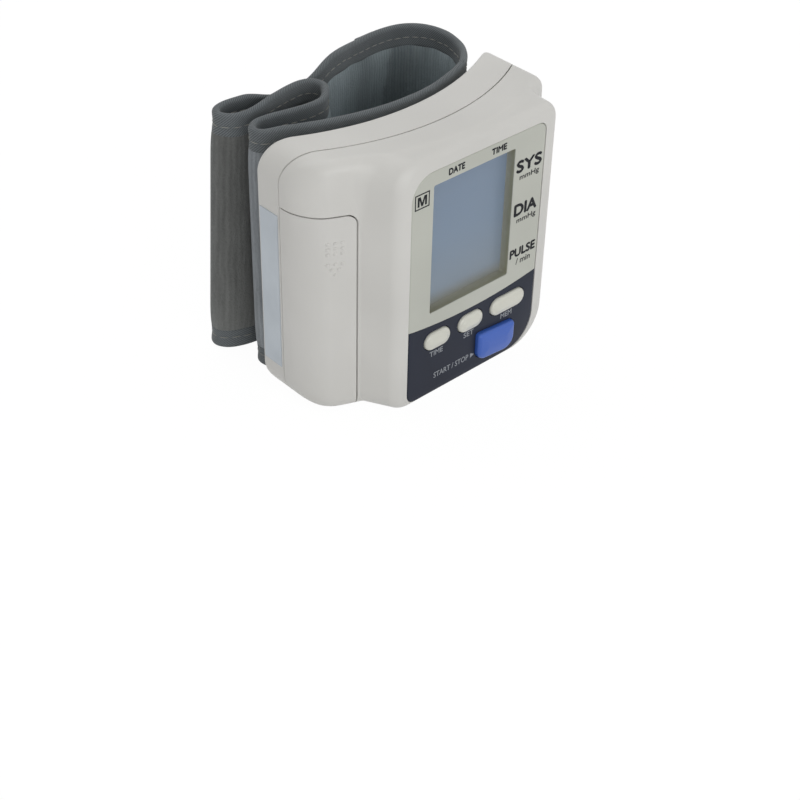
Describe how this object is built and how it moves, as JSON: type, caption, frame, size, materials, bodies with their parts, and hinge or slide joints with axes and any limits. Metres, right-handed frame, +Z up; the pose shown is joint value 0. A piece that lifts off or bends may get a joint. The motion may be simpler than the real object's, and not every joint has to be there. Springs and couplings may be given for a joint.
{
  "type": "wrist blood pressure monitor",
  "caption": "Compact wrist blood pressure monitor with a raised display block, press keys, a sliding battery cover and a folded fabric cuff that loops round the wrist.",
  "frame": {"origin": "middle of the box at the foot of the monitor, which stands on its lower end", "axes": "+Z up along the display, -Y out of the display towards the reader, +X to the reader's right, +Y towards the wrist cuff"},
  "size_m": [0.0768, 0.062, 0.07],
  "materials": {
    "case": "satin moulded plastic",
    "cover": "satin moulded plastic",
    "bezel": "satin printed plastic",
    "navy_panel": "satin dark blue plastic",
    "key_ivory": "satin ivory plastic",
    "key_blue": "satin blue plastic",
    "window": "clear acrylic",
    "lcd": "blue-grey display glass",
    "white_plastic": "plain moulded plastic",
    "black_plastic": "plain black plastic",
    "board": "green solder mask",
    "rubber": "soft rubber",
    "steel": "plated steel",
    "brass": "turned brass",
    "tube": "clear silicone rubber",
    "cell": "printed sleeve",
    "label": "satin foil",
    "plush": "short brushed loop cloth",
    "lining": "brushed knitted cloth",
    "tape": "ribbed woven tape",
    "film": "soft vinyl film",
    "hook": "hook tape"
  },
  "bodies": {
    "monitor": {"front_case": "case", "rear_case": "case", "display_bezel": "bezel", "button_panel": "navy_panel", "display_window": "window", "lcd_panel": "lcd", "lcd_frame": "white_plastic", "air_manifold": "white_plastic", "battery_tray": "white_plastic", "pressure_sensor": "white_plastic", "cuff_plate": "white_plastic", "controller_chip": "black_plastic", "time_switch": "black_plastic", "set_switch": "black_plastic", "memory_switch": "black_plastic", "start_switch": "black_plastic", "pump_head": "black_plastic", "main_board": "board", "lcd_connector": "rubber", "case_screw_1": "steel", "case_screw_2": "steel", "case_screw_3": "steel", "case_screw_4": "steel", "pump_motor": "steel", "valve_body": "steel", "battery_contact_top": "steel", "battery_contact_bottom": "steel", "battery_spring_1": "steel", "battery_spring_2": "steel", "buzzer": "brass", "pump_tube": "tube", "valve_tube": "tube", "battery_1": "cell", "battery_2": "cell", "label_plate": "label", "cuff_outer_cloth": "plush", "cuff_lining": "lining", "cuff_binding_top": "tape", "cuff_binding_bottom": "tape", "cuff_bladder": "film"},
    "time_key": {"time_button": "key_ivory"},
    "set_key": {"set_button": "key_ivory"},
    "memory_key": {"memory_button": "key_ivory"},
    "start_key": {"start_button": "key_blue"},
    "cover": {"battery_cover": "cover"},
    "pump_rotor": {"motor_shaft": "brass"},
    "exhaust_plunger": {"valve_plunger": "brass"},
    "cuff_end": {"cuff_end_tab": "plush", "hook_patch": "hook"}
  },
  "joints": [
    {"name": "time_press", "type": "slide", "parent": "monitor", "child": "time_key", "axis": [0, 1, 0], "range_m": [0, 0.0006], "stiffness_N_per_m": 150},
    {"name": "set_press", "type": "slide", "parent": "monitor", "child": "set_key", "axis": [0, 1, 0], "range_m": [0, 0.0006], "stiffness_N_per_m": 150},
    {"name": "memory_press", "type": "slide", "parent": "monitor", "child": "memory_key", "axis": [0, 1, 0], "range_m": [0, 0.0006], "stiffness_N_per_m": 150},
    {"name": "start_press", "type": "slide", "parent": "monitor", "child": "start_key", "axis": [0, 1, 0], "range_m": [0, 0.0006], "stiffness_N_per_m": 150},
    {"name": "cover_slide", "type": "slide", "parent": "monitor", "child": "cover", "axis": [0, 0, -1], "range_m": [0, 0.05]},
    {"name": "rotor_spin", "type": "hinge", "parent": "monitor", "child": "pump_rotor", "pos_m": [0.01961, -0.01554, 0.034], "axis": [0, 0, 1], "continuous": true},
    {"name": "plunger_slide", "type": "slide", "parent": "monitor", "child": "exhaust_plunger", "axis": [0, 0, 1], "range_m": [0, 0.0007], "stiffness_N_per_m": 200},
    {"name": "cuff_end_peel", "type": "hinge", "parent": "monitor", "child": "cuff_end", "pos_m": [0.03752, 0.01914, 0.034], "axis": [0, 0, -1], "range_deg": [0, 60]}
  ]
}
